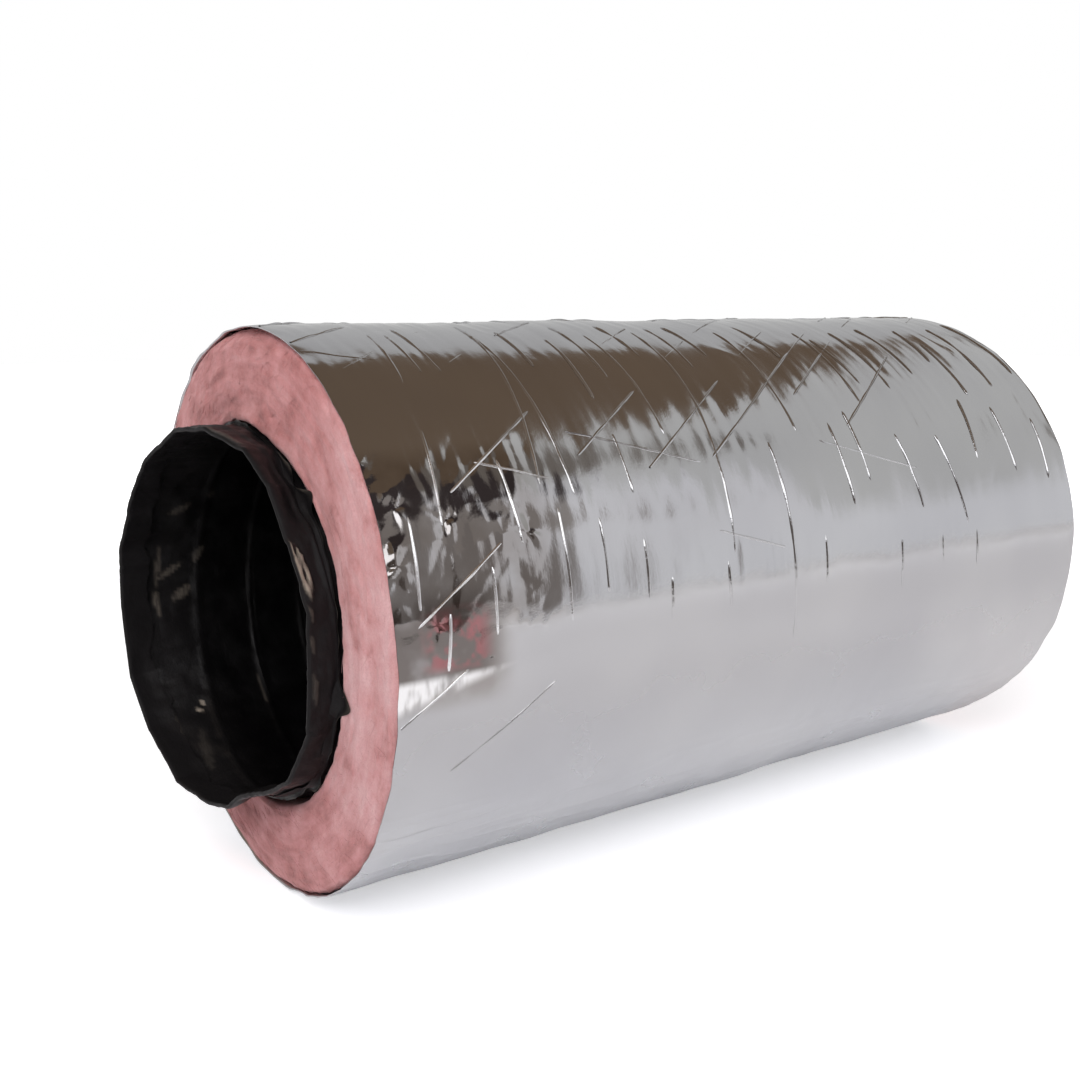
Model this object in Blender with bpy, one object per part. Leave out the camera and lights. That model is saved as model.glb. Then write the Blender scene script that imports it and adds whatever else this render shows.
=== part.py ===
"""Insulated flexible air duct: a short run with its core end exposed.

Metres, +Z up. The duct's axis runs along +X, from the exposed core end to the
plain cut end; the sleeve's mouth is at x = 0 while the pieces are made. The
blanket is cut into short rigid sections so that the run can bend and compress;
the thin films and the jacket bridge those cuts. The finished part stands on
z = 0, centred in x and y.
"""
import math

import bmesh
import bpy
import numpy as np
from mathutils import Vector

MM = 0.001

# round shells
SIDES = 32
STEP = 2 * math.pi / SIDES
PHASE = -math.pi / 2 + STEP / 2   # first corner; puts a side's middle at the bottom

# wire
PITCH = 33.0 * MM
WIRE_R = 0.8 * MM
WIRE_CENTRE_R = 103.0 * MM
WIRE_SIDES = 6
WIRE_FROM = 4              # the shells' corner, counted from the bottom, where its turns start
WIRE_TRIM = 0.012          # radians of turn left off each end of a length
LAST_WIRE_SHORT = 2        # shell sides by which the last length stops short of the cut end

# layers, from the bore outwards
FILM_T = 0.4 * MM
BORE_R = 101.5 * MM        # 8 in core
CORE_FILM_R = 104.1 * MM   # inside of the outer core film
BLANKET_IN_R = 105.2 * MM
BLANKET_OUT_R = 155.2 * MM
JACKET_IN_R = 155.6 * MM
JACKET_T = 0.5 * MM

# blanket sections and the cuts between them
SECTION_LEN = 2 * PITCH
JOINT_GAP = 1.0 * MM       # left between two blanket sections at a bend
SEAM_GAP = 0.3 * MM        # left between two shells end to end
BEND = math.radians(15.0)  # at each bend
STROKE = 28.0 * MM         # at each compression gap
# what each cut allows, from the core end: a sideways bend, an up-and-down bend
# or a compression gap
CUTS = ["side", "lift", "gap", "side", "gap", "lift", "side"]
SECTION_ENDS = [None, *CUTS, None]
SECTIONS = len(CUTS) + 1
LENGTH = SECTIONS * SECTION_LEN
ROOT = 4                   # the section that the others hang from, counted from 1

# exposed core end and the sleeve's mouth
CORE_OUT = 34.0 * MM       # how far the core stands out of the sleeve
CORE_STATIONS = [x * MM for x in (-24, -15, -6, 3)]   # rings that let the end curve
NECK_FROM, NECK_TO = 12.0 * MM, PITCH
CORE_TILT = math.radians(7.2)
TILT_FROM, TILT_TO = -30.0 * MM, NECK_FROM   # full tilt, no tilt
MOUTH_R, MOUTH_DEPTH = 108.8 * MM, 20.0 * MM

# torn film ring in front of the sleeve's mouth
CUFF_IN_R, CUFF_OUT_R = 107.2 * MM, 114.0 * MM
CUFF_GAP, CUFF_T = 0.7 * MM, 0.5 * MM
CUFF_TORN = 3              # sides that are torn away

SHARP_ANGLE = math.radians(40)

# material: base colour, metallic, roughness
LOOKS = {
    "blanket": ((0.52, 0.27, 0.28), 0.0, 0.9),
    "jacket": ((0.62, 0.62, 0.64), 0.9, 0.32),
    "film": ((0.015, 0.014, 0.016), 0.0, 0.35),
    "liner": ((0.012, 0.012, 0.013), 0.0, 0.45),
    "wire": ((0.45, 0.45, 0.46), 1.0, 0.3),
}
# the core's two films: name, inside radius, material
CORE_FILMS = [
    ("core_film", CORE_FILM_R, "film"),
    ("liner_film", BORE_R, "liner"),
]


# ---- shapes: each returns (verts, faces) ----

def join_rings(rings, closed=False):
    """Skin a row of rings; the last joins the first if closed, else both ends are capped."""
    count, size = len(rings), len(rings[0])
    verts = [point for ring in rings for point in ring]
    faces = []
    for j in range(count if closed else count - 1):
        here, there = j * size, (j + 1) % count * size
        for i in range(size):
            k = (i + 1) % size
            faces.append((here + i, here + k, there + k, there + i))
    if not closed:
        faces.append(tuple(range(size)))
        faces.append(tuple(reversed(range(len(verts) - size, len(verts)))))
    return verts, faces


def cut_back(kind, y, z):
    """How far a blanket section stops short of the cut, at one point of its end."""
    if kind == "side":
        return JOINT_GAP / 2 + abs(y) * math.tan(BEND / 2)
    if kind == "lift":
        return JOINT_GAP / 2 + abs(z) * math.tan(BEND / 2)
    if kind == "gap":
        return STROKE / 2 + JOINT_GAP
    return 0.0


def tube(profile, start=None, end=None):
    """A tube from a closed loop of (x, r) corners; start and end are the kinds of cut
    at its low-x and high-x faces."""
    low = min(x for x, _ in profile)
    high = max(x for x, _ in profile)
    rings = []
    for x, r in profile:
        ring = []
        for i in range(SIDES):
            angle = PHASE + i * STEP
            y, z = r * math.cos(angle), r * math.sin(angle)
            if x == low:
                ring.append((x + cut_back(start, y, z), y, z))
            elif x == high:
                ring.append((x - cut_back(end, y, z), y, z))
            else:
                ring.append((x, y, z))
        rings.append(ring)
    return join_rings(rings, closed=True)


def shell(x0, x1, r_in, thickness, stations=()):
    """A thin square-ended tube with extra rings at the stations, given in rising x."""
    xs = [x0, *stations, x1]
    r_out = r_in + thickness
    return tube([(x, r_out) for x in xs] + [(x, r_in) for x in reversed(xs)])


def torn_ring(x0, x1, r_in, r_out, missing):
    """A flat ring without its `missing` sides round the +Y direction."""
    first = SIDES // 4 + (missing - 1) // 2
    rings = []
    for j in range(SIDES - missing + 1):
        angle = PHASE + (first + j) * STEP
        y, z = math.cos(angle), math.sin(angle)
        rings.append([(x, r * y, r * z)
                      for x, r in ((x0, r_out), (x1, r_out), (x1, r_in), (x0, r_in))])
    return join_rings(rings)


def helix(x0, x1):
    """A length of the wire from x0 to x1. Between its ends it bends at the shells' corners."""
    slope = PITCH / (2 * math.pi)   # advance per radian
    first = x0 / slope + WIRE_TRIM
    last = x1 / slope - WIRE_TRIM
    corners = range(math.floor(first / STEP) + 1, math.ceil(last / STEP))
    rings = []
    for turned in [first, *(k * STEP for k in corners), last]:
        angle = PHASE + WIRE_FROM * STEP + turned
        y, z = math.cos(angle), math.sin(angle)
        out = Vector((0, y, z))
        along = Vector((slope, -WIRE_CENTRE_R * z, WIRE_CENTRE_R * y)).normalized()
        across = out.cross(along)
        centre = Vector((slope * turned, WIRE_CENTRE_R * y, WIRE_CENTRE_R * z))
        ring = []
        for i in range(WIRE_SIDES):
            around = 2 * math.pi * i / WIRE_SIDES
            offset = math.cos(around) * out + math.sin(around) * across
            ring.append(tuple(centre + WIRE_R * offset))
        rings.append(ring)
    return join_rings(rings)


def smooth(t):
    t = min(max(t, 0.0), 1.0)
    return t * t * (3 - 2 * t)


def lean(shape):
    """Lean the core's end towards -Y, about the vertical line through the mouth's centre."""
    verts, faces = shape
    leaned = []
    for x, y, z in verts:
        angle = CORE_TILT * smooth((TILT_TO - x) / (TILT_TO - TILT_FROM))
        c, s = math.cos(angle), math.sin(angle)
        leaned.append((x * c - y * s, x * s + y * c, z))
    return leaned, faces


# ---- pieces: each entry is (name, shape, material name, x of its origin) ----

def section_pivot(n):
    """Where section n turns or slides: its cut nearer the root, or the root's own middle."""
    if n < ROOT:
        return n * SECTION_LEN
    if n > ROOT:
        return (n - 1) * SECTION_LEN
    return (ROOT - 0.5) * SECTION_LEN


def section_pieces(n):
    """Blanket section n and the wire inside it."""
    x0, x1 = (n - 1) * SECTION_LEN, n * SECTION_LEN
    profile = [(x0, BLANKET_OUT_R), (x1, BLANKET_OUT_R), (x1, BLANKET_IN_R)]
    if n == 1:   # flared mouth
        profile += [(x0 + MOUTH_DEPTH, BLANKET_IN_R), (x0, MOUTH_R)]
    else:
        profile.append((x0, BLANKET_IN_R))
    blanket = tube(profile, SECTION_ENDS[n - 1], SECTION_ENDS[n])
    wire_from = NECK_TO if n == 1 else x0
    wire_to = x1 - PITCH * LAST_WIRE_SHORT / SIDES if n == SECTIONS else x1
    pivot = section_pivot(n)
    return [
        (f"insulation_{n}", blanket, "blanket", pivot),
        (f"wire_{n}", helix(wire_from, wire_to), "wire", pivot),
    ]


def bridging_pieces(n):
    """The jacket and films over cut n, from the middle of one section to the next."""
    x0 = (n - 0.5) * SECTION_LEN + SEAM_GAP / 2
    x1 = LENGTH if n == SECTIONS - 1 else (n + 0.5) * SECTION_LEN - SEAM_GAP / 2
    pivot = section_pivot(n if n <= ROOT else n + 1)
    jacket = shell(0.0 if n == 1 else x0, x1, JACKET_IN_R, JACKET_T)
    films = [(f"{name}_{n}", shell(x0, x1, r_in, FILM_T), look, pivot)
             for name, r_in, look in CORE_FILMS]
    return [(f"jacket_{n}", jacket, "jacket", pivot), *films]


def core_end_pieces():
    """The straight neck inside the mouth, the leaning end and the torn cuff."""
    made = []
    for name, r_in, look in CORE_FILMS:
        neck = shell(NECK_FROM + SEAM_GAP / 2, NECK_TO - SEAM_GAP / 2, r_in, FILM_T)
        end = shell(-CORE_OUT, NECK_FROM - SEAM_GAP / 2, r_in, FILM_T, CORE_STATIONS)
        made.append((f"{name}_neck", neck, look, NECK_FROM))
        made.append((f"{name}_end", lean(end), look, 0.0))
    cuff = torn_ring(-CUFF_GAP - CUFF_T, -CUFF_GAP, CUFF_IN_R, CUFF_OUT_R, CUFF_TORN)
    made.append(("core_film_cuff", cuff, "film", NECK_FROM))
    made.append(("wire_neck", helix(0.0, NECK_TO), "wire", NECK_FROM))
    made.append(("wire_end", lean(helix(-PITCH, 0.0)), "wire", 0.0))
    return made


# ---- scene ----

def clear_scene():
    for old in list(bpy.data.objects):
        bpy.data.objects.remove(old, do_unlink=True)
    for old in list(bpy.data.meshes):
        bpy.data.meshes.remove(old)
    for old in list(bpy.data.materials):
        bpy.data.materials.remove(old)


def make_material(name, colour, metallic, roughness):
    made = bpy.data.materials.new(name)
    made.use_nodes = True
    inputs = made.node_tree.nodes["Principled BSDF"].inputs
    inputs["Base Color"].default_value = (*colour, 1.0)
    inputs["Metallic"].default_value = metallic
    inputs["Roughness"].default_value = roughness
    made.diffuse_color = (*colour, 1.0)
    return made


def make_object(name, shape, look, origin, shift):
    """Link a piece with its origin at `origin`, then moved by shift."""
    verts, faces = shape
    mesh = bpy.data.meshes.new(name)
    mesh.from_pydata([tuple(Vector(v) - origin) for v in verts], [], faces)
    bm = bmesh.new()
    bm.from_mesh(mesh)
    bmesh.ops.recalc_face_normals(bm, faces=bm.faces)
    bm.to_mesh(mesh)
    bm.free()
    mesh.materials.append(look)
    mesh.shade_smooth()
    mesh.set_sharp_from_angle(angle=SHARP_ANGLE)
    obj = bpy.data.objects.new(name, mesh)
    obj.location = origin + shift
    bpy.context.scene.collection.objects.link(obj)


clear_scene()
pieces = []
for n in range(1, SECTIONS + 1):
    pieces += section_pieces(n)
for n in range(1, SECTIONS):
    pieces += bridging_pieces(n)
pieces += core_end_pieces()

# brings the middle of the bottom of the part's box to the world origin
points = np.array([v for _, (verts, _), _, _ in pieces for v in verts])
low, high = points.min(0), points.max(0)
shift = Vector((-(low[0] + high[0]) / 2, -(low[1] + high[1]) / 2, -low[2]))

materials = {name: make_material(name, *look) for name, look in LOOKS.items()}
for name, shape, look, x in pieces:
    make_object(name, shape, materials[look], Vector((x, 0.0, 0.0)), shift)
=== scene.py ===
"""Looks of an insulated flexible duct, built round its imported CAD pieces.

The duct lies along X: a black core on a spring wire, a glass wool blanket and a foil
jacket. The bare end of the core sticks out beyond X0, towards -X, and leans towards -Y.

`along` runs in metres from the cut edge at X0; `angle` goes round the axis, 0 on +Y and
90 degrees on top; `above` is degrees above the axis on the -Y side, 90 on top. Every mesh
keeps its rest place in an attribute, so that its material's pattern moves with it.
"""

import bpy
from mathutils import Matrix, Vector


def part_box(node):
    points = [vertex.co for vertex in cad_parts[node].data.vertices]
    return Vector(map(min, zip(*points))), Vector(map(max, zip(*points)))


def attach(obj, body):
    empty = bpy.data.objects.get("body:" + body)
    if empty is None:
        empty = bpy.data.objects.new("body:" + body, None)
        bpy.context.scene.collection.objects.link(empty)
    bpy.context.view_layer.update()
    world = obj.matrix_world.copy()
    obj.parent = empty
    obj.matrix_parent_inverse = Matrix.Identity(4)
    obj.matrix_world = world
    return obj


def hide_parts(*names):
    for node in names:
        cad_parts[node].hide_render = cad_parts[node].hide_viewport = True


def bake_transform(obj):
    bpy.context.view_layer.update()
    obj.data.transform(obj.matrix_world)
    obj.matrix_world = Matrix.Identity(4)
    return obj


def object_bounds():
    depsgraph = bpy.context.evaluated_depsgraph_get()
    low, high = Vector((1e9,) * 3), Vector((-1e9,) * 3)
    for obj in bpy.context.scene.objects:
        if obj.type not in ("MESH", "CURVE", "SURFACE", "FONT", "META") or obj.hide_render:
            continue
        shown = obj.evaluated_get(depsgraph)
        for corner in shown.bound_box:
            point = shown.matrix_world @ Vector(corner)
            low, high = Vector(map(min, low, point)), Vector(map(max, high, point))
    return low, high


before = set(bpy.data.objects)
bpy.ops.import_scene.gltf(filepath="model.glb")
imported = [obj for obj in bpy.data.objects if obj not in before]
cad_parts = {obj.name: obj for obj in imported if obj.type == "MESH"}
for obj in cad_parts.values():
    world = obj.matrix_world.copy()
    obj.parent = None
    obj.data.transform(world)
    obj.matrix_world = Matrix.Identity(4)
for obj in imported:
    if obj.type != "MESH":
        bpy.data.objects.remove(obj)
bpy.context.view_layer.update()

import math

import bpy
import numpy as np
from mathutils import Vector

MM = 0.001
TAU = 2 * math.pi

# ---------------------------------------------------------------- main sizes
first_blanket, last_blanket, jacket_box = map(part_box, ("insulation_1", "insulation_8", "jacket_1"))
CAD_SIDES = 32                               # of the CAD's round shells
X0 = first_blanket[0].x
LEN = last_blanket[1].x - X0
AXIS_Z = (jacket_box[0].z + jacket_box[1].z) / 2
JACKET_R = (jacket_box[1].z - jacket_box[0].z) / 2 * (1 / math.cos(math.pi / CAD_SIDES))
CORE_R = 103.0 * MM                          # to the middle of the wire
BLANKET_IN, BLANKET_OUT = 105.6 * MM, 154.6 * MM
SECTION = LEN / 8
PITCH = SECTION / 2                          # of the wire
CORE_OUT = 34 * MM                           # bare length of core
TILT = math.radians(7.2)                     # of the bare end
TILT_FROM, TILT_TO = -30 * MM, 12 * MM
NECK = (12 * MM, 33 * MM)
LAST = 7                                     # pieces, cut in the middle of a section
SEAMS = [0.0] + [(k + 0.5) * SECTION for k in range(1, LAST)] + [LEN]

AROUND = 480
CORE_AROUND = 384


def across(obj):
    """Piece k bridges cut k, from the middle of one section to the next. This bakes its transform
    into its mesh.
    """
    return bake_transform(obj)


def stand_in(obj, slot, *cad_pieces):
    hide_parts(*cad_pieces)
    return obj


# ---------------------------------------------------------------- patterns
def fade(value):
    value = np.clip(value, 0.0, 1.0)
    return value * value * (3 - 2 * value)


def zigzag(value):
    """A wave of straight runs, from -1 to 1."""
    return np.arcsin(np.sin(value)) * 2 / math.pi


def hump(value, low, high, soft):
    """1 between low and high, falling to 0 over soft on each side."""
    return fade((value - low + soft) / soft) * fade((high + soft - value) / soft)


def spike(value, sharp, floor=0):
    """1 where value is 0, falling in straight lines to floor."""
    return np.clip(1 - sharp * np.abs(value), floor, 1)


class Noise:
    """Random values on a grid over (along, angle), seamless round the duct, from -1 to 1."""

    LOW, HIGH = -0.10, 0.65

    def __init__(self, seed, cell, around):
        rng = np.random.default_rng(seed)
        self.cell, self.around = cell, around
        self.grid = rng.uniform(-1, 1, (int((self.HIGH - self.LOW) / cell) + 4, around))

    def _cell(self, along, angle):
        """Values at the four corners of the cell, and the place in it."""
        along, angle = np.broadcast_arrays(np.asarray(along, float), np.asarray(angle, float))
        grid = self.grid
        x = np.clip((along - self.LOW) / self.cell, 0, grid.shape[0] - 2.001)
        y = np.mod(angle / TAU, 1.0) * self.around
        i, j = np.floor(x).astype(int), np.floor(y).astype(int)
        x, y = x - i, y - j
        j, k = j % self.around, (j + 1) % self.around
        return grid[i, j], grid[i + 1, j], grid[i, k], grid[i + 1, k], x, y

    def __call__(self, along, angle):
        v00, v10, v01, v11, x, y = self._cell(along, angle)
        x, y = x * x * (3 - 2 * x), y * y * (3 - 2 * y)
        return (v00 * (1 - x) + v10 * x) * (1 - y) + (v01 * (1 - x) + v11 * x) * y

    def facets(self, along, angle):
        """The same values joined by flat triangles, as crumpled foil is."""
        v00, v10, v01, v11, x, y = self._cell(along, angle)
        return np.where(x + y < 1, v00 + x * (v10 - v00) + y * (v01 - v00),
                        v11 + (1 - x) * (v01 - v11) + (1 - y) * (v10 - v11))


def wrap(angle):
    """An angle from -pi to pi."""
    return np.mod(angle + math.pi, TAU) - math.pi


def degrees_above(angle):
    return np.degrees(wrap(math.pi - angle))


# ---------------------------------------------------------------- mesh helpers
def angles_round(count):
    """Angles round the duct, starting at the bottom."""
    return -math.pi / 2 + TAU * np.arange(count) / count


def round_axis(x, radius, angle):
    return np.stack(np.broadcast_arrays(x, radius * np.cos(angle),
                                        AXIS_Z + radius * np.sin(angle)), -1)


def outward(angle):
    return np.stack([0 * angle, np.cos(angle), np.sin(angle)], -1)


def unit(vectors):
    return vectors / np.linalg.norm(vectors, axis=-1, keepdims=True)


def grid_faces(rows, cols, row_loop=False, col_loop=True, rows_first=False, flip=False):
    """Quads of a grid of points. A loop joins the last row or column to the first."""
    i, j = np.meshgrid(np.arange(rows if row_loop else rows - 1),
                       np.arange(cols if col_loop else cols - 1), indexing="ij")
    next_i, next_j = (i + 1) % rows, (j + 1) % cols
    here, opposite = i * cols + j, next_i * cols + next_j
    next_row, next_col = next_i * cols + j, i * cols + next_j
    second, fourth = (next_row, next_col) if rows_first else (next_col, next_row)
    faces = np.stack([here, second, opposite, fourth], -1).reshape(-1, 4)
    return faces[:, ::-1] if flip else faces


def to_scene(name, data):
    obj = bpy.data.objects.new(name, data)
    bpy.context.scene.collection.objects.link(obj)
    return obj


def keep_attribute(mesh, name, kind, key, values):
    kept = mesh.attributes.new(name, kind, "POINT")
    kept.data.foreach_set(key, np.asarray(values, np.float32).ravel())


def mesh_object(name, points, faces, *materials, index=None):
    points = points.reshape(-1, 3)
    mesh = bpy.data.meshes.new(name)
    mesh.from_pydata(points.tolist(), [], faces)
    keep_attribute(mesh, "rest", "FLOAT_VECTOR", "vector", points - np.array([X0, 0, AXIS_Z]))
    for material in materials:
        mesh.materials.append(material)
    if index is not None:
        mesh.polygons.foreach_set("material_index", np.asarray(index, np.int32))
    mesh.shade_smooth()
    mesh.update()
    return to_scene(name, mesh)


# ---------------------------------------------------------------- foil jacket
# seed, cell along the duct, cells round it
SWELL, SOFT, WARP = Noise(11, 74 * MM, 9), Noise(12, 23 * MM, 28), Noise(13, 15 * MM, 40)
PANES, CRUSH, FINE = Noise(14, 26 * MM, 20), Noise(15, 12 * MM, 78), Noise(16, 5.2 * MM, 190)
PLEATS, FINE_PLEATS = Noise(17, 5.2 * MM, 18), Noise(18, 3.4 * MM, 30)
PATCHES, EDGE = Noise(19, 40 * MM, 16), Noise(20, 6 * MM, 70)
CREASES, BANDS = Noise(21, 60 * MM, 120), Noise(22, 7 * MM, 26)
THREAD_SIZE, THREAD_SHOWS = Noise(30, 9 * MM, 90), Noise(31, 26 * MM, 22)

# threads that run round the duct: millimetres from the cut edge at 30 degrees above, how far
# they lean, and the stretches (degrees above) where they press through the foil
RINGS = [(-8, 0.0, []), (15, 0.1, [(12, 26)]), (35, 0.3, [(26, 43), (57, 75), (1, 9)]),
         (55, 0.1, [(60, 74), (6, 16)]), (73, -0.1, [(21, 35), (60, 78)]), (94, 0.34, [(32, 80)]),
         (101, 0.1, [(6, 25)]), (111, -0.05, [(29, 73)]), (124, 0.1, [(10, 22), (60, 75)]),
         (150, 0.1, [(28, 39), (7, 17), (50, 70)]), (167, 0.1, [(56, 78), (2, 9)]),
         (184, 0.06, [(40, 72)]), (205, 0.0, [(63, 78), (3, 10)]), (214, 0.25, [(14, 73)]),
         (235, 0.1, [(58, 76)]), (256, 0.0, [(-7, 34), (62, 77)]), (283, 0.1, [(38, 72), (4, 12)]),
         (312, 0.03, [(20, 37), (60, 76)]), (330, -0.05, [(25, 40)]), (350, 0.1, [(44, 70), (0, 9)]),
         (368, -0.25, [(17, 33), (50, 66)]), (387, 0.05, [(48, 70), (3, 8)]),
         (404, -0.5, [(12, 32)]), (420, 0.0, [(52, 72), (2, 8)]), (437, 0.4, [(27, 41), (56, 70)]),
         (455, 0.1, [(44, 62)]), (472, 0.0, [(23, 38)]), (490, 0.0, [(46, 70)]),
         (507, 0.1, [(20, 34)]), (521, 0.0, [(50, 74)])]
# the two slanting sets: degrees above at the cut edge, stretches in millimetres along the duct
RISING = [(20.6, [(43, 102)]), (5.5, [(14, 60), (124, 178)]), (-9.2, [(0, 34), (164, 244)]),
          (-19.7, [(214, 322)]), (-27.5, [(33, 86), (300, 352)]), (-44.0, [(330, 410)])]
FALLING = [(43.0, [(62, 99)]), (55.0, [(122, 200)]), (40.5, [(204, 246)]), (68.0, [(300, 372)])]
# table, slope, number of threads, degrees between those past the table, size
SLANTING = ((RISING, 1 / 1.48, 25, 14.4, 0.85), (FALLING, -0.31, 18, 20.0, 0.6))

# star-shaped puckers: millimetres from the cut edge, degrees above, size in millimetres
STARS = [(78, 22, 7.0), (10, 29, 6.0), (35, 26, 4.5), (47, 1, 6.0), (5, 19, 5.0), (22, 8, 5.0)]


def ring_line(ring, angle):
    """Where a thread that runs round the duct is, at each angle."""
    start, tilt, _ = ring
    phase = start * 1.7
    above = degrees_above(angle)
    leaned = (tilt * np.clip(above - 30, -35, 50) * fade((150 - above) / 50)
              * fade((above + 80) / 40))
    wander = 0.8 * np.sin(3 * angle + phase) + 0.4 * np.sin(7 * angle + 2 * phase)
    return (start + leaned + wander) * MM


def crush_mask(along, angle):
    """Where the foil is badly crumpled: by the cut edge, on the -Y side."""
    reach = 0.100 + 0.014 * PATCHES(along, angle)
    return fade((reach - along) / 0.030) * hump(degrees_above(angle), 3, 37, 8)


def stars(along, above):
    """Height of the puckers, in millimetres."""
    total = 0
    for place, degrees, size in STARS:
        x = (along - place * MM) / MM
        y = (above - degrees) * math.radians(1) * JACKET_R / MM
        away, turn = np.hypot(x * 1.2, y * 0.85) / size, np.arctan2(y, x)
        pull = (zigzag(2 * turn + place) + 0.7 * zigzag(3 * turn + 2.1 * degrees)
                + 0.35 * zigzag(5 * turn - place))
        strength = 0.5 if degrees < 5 else 1.0
        total = total + 0.70 * away * np.exp(-1.1 * away ** 2) * pull * strength
    return total


def foil(along, angle):
    """How far the foil stands off its round. Each factor before a noise is in millimetres."""
    above = degrees_above(angle)
    bent_angle = angle + 0.05 * WARP(along, angle)
    bent = along + 3 * MM * WARP(along + 0.02, angle + 1.3), bent_angle
    upper = fade((above + 8) / 40) * fade((168 - above) / 40)
    top = hump(above, 36, 150, 10)
    crush = crush_mask(along, angle)
    height = 0.55 * SWELL(along, angle) + 0.12 * SOFT(along, angle)
    height = height + (0.12 + 0.30 * upper + 0.34 * crush) * PANES.facets(*bent)
    # fine pleats that run round the duct, mostly over the top
    height = height + top * (
        0.12 * PLEATS(along, angle) + 0.06 * FINE_PLEATS(along, angle) + 0.10 * CRUSH.facets(*bent)
        + 0.22 * spike(BANDS(along, angle), 2.6) * fade(PATCHES(along + 0.1, angle) + 0.3))
    # the threads hold it in, so that it pillows a little between them
    near = np.full(np.shape(along + angle), 1.0)
    for ring in RINGS:
        near = np.minimum(near, np.abs(along - ring_line(ring, angle)))
    height = height - (0.03 + 0.09 * upper) * np.exp(-(near / (4.5 * MM)) ** 2)
    height = height + crush * (0.36 * CRUSH.facets(*bent) + 0.08 * FINE.facets(*bent)
                               + 0.10 * FINE_PLEATS(*bent))
    height = height + stars(along, above)
    # ragged at the cut edge by X0
    rag = fade((15 * MM - along) / (10 * MM)) * hump(above, -14, 38, 6)
    height = height + rag * (0.5 + 0.5 * fade((above - 9) / 8)) * (
        0.75 * FINE.facets(along, angle) + 0.45 * CRUSH(along, angle))
    # short soft pleats round the duct, at the height of the axis
    pleat = (hump(above, -9, 13, 6) * fade((along - 0.085) / 0.03)
             * fade(0.35 + 1.2 * PATCHES(along, angle + 2)))
    height = height + pleat * (0.15 * spike(PLEATS(along, angle), 2.4, floor=-0.2)
                               + 0.05 * FINE_PLEATS(along, angle))
    # a few long creases low on the -Y side
    low = hump(above, -76, -36, 12)
    height = height + low * (0.50 * spike(CREASES(along, angle), 3.6)
                             + 0.40 * SOFT(along + 0.05, angle))
    # both cut edges pinch in and wander
    cut = np.exp(-along / (5 * MM)) + np.exp(-(LEN - along) / (5 * MM))
    height = height - cut * (0.7 + 0.6 * EDGE(along, angle))
    deepest = -0.7                                         # below this it dips more gently
    return np.where(height < deepest, deepest + 0.3 * (height - deepest), height) * MM


def edge_shift(along, angle):
    """The cut edges are not quite straight."""
    fall = 9 * MM
    near = np.exp(-np.maximum(along, 0) / fall) * (0.9 * EDGE(0, angle) + 0.6 * SWELL(0, angle))
    return (near + np.exp(-(LEN - along) / fall) * 0.9 * EDGE(0.3, angle)) * MM


def foil_point(along, angle, lift=0.0):
    radius = JACKET_R - 0.3 * MM + foil(along, angle) + lift
    return round_axis(X0 + along + edge_shift(along, angle), radius, angle)


def stretches(value, spans, soft):
    out = np.zeros(np.shape(value))
    for low, high in spans:
        out = np.maximum(out, hump(value, low, high, soft))
    return out


def thread_lines():
    """Every thread as stations (along, angle), its size, and how far it shows at each one."""
    lines = []
    angle = np.linspace(-math.pi / 2, 1.5 * math.pi, 520)
    above = degrees_above(angle)
    far_side = fade((above - 84) / 8) + fade((-100 - above) / 8)
    for ring in RINGS:
        along = ring_line(ring, angle)
        random = fade((THREAD_SHOWS(along, angle) + 0.10) / 0.2)
        shown = np.maximum(stretches(above, ring[2], 1.5), far_side * random)
        lines.append((along, angle, 1.0, shown))
    along = np.linspace(0, LEN, 320)
    for table, slope, count, gap, size in SLANTING:
        for k in range(count):
            if k < len(table):
                first, spans = table[k]
            else:
                first, spans = table[-1][0] - gap * (k - len(table) + 1), []
            climb = math.radians(first) + slope * along / JACKET_R
            above = np.degrees(wrap(climb))
            far_side = np.clip(fade((above - 60) / 10) + fade((-90 - above) / 10), 0, 1)
            random = fade((THREAD_SHOWS(along, math.pi - climb) - 0.05) / 0.2)
            shown = np.maximum(stretches(along / MM, spans, 3), far_side * random)
            lines.append((along, math.pi - climb, size, shown))
    return lines


LINES = thread_lines()
# a thread's section: place across in half widths, lift in millimetres, share of its height
THREAD_SECTION = ((1.3, -0.15, 0), (0.45, 0, 1), (-0.45, 0, 1), (-1.3, -0.15, 0))


def thread_runs(along, shows, low, high):
    """The unbroken runs of stations between two seams where a thread shows."""
    seen = (along >= 0.4 * MM) & (along <= LEN - 0.4 * MM) & (shows > 0.02)
    inside = seen & (along >= low) & (along <= high)
    cuts = np.flatnonzero(np.diff(inside.astype(int))) + 1
    for run in np.split(np.arange(len(along)), cuts):
        if not inside[run[0]] or len(run) < 3:
            continue
        # one station more, so that the strip meets the next piece's
        after = run[-1] + 1
        if after < len(along) and seen[after]:
            run = np.append(run, after)
        yield run


def thread_strip(along, angle, size, shown):
    """Points of one strip: station, place across, xyz."""
    tall = size * (0.60 + 0.34 * THREAD_SIZE(along, angle)) * shown * MM
    wide = (0.68 + 0.20 * THREAD_SIZE(along + 0.1, angle)) * (0.35 + 0.65 * shown) * MM
    tangent = unit(np.stack([np.gradient(along), np.gradient(angle) * JACKET_R], -1))
    step_along, step_angle = -tangent[:, 1] * wide, tangent[:, 0] * wide / JACKET_R
    return np.stack([
        foil_point(along + step_along * side, angle + step_angle * side, lift * MM)
        + share * outward(angle) * tall[:, None] for side, lift, share in THREAD_SECTION], 1)


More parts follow.
